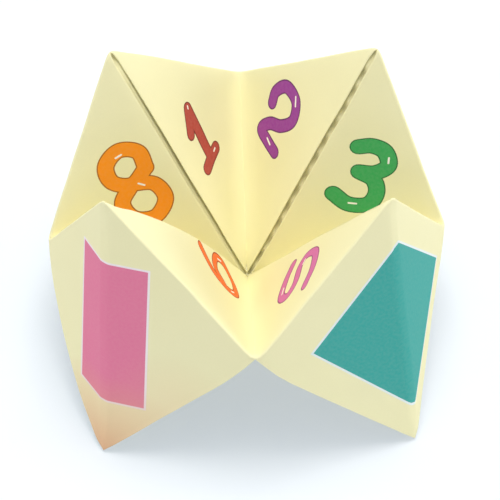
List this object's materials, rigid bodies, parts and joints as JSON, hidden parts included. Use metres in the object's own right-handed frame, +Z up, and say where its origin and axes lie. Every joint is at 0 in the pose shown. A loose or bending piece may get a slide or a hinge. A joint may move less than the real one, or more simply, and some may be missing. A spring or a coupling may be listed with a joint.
{
  "type": "paper fortune teller",
  "caption": "Square sheet folded into an open fortune teller: pointed horns with finger pockets around a mouth with numbered flaps, standing on its sheet corners.",
  "frame": {"origin": "on the table, under the centre of the sheet and of the mouth", "axes": "+Z up out of the mouth; +X to the side notch on the right, along the longer side of the model; +Y to the notch at the back"},
  "size_m": [0.099, 0.0896, 0.0715],
  "materials": {
    "paper": "matte uncoated paper"
  },
  "bodies": {
    "root": {"folded_sheet": "paper"}
  },
  "joints": []
}
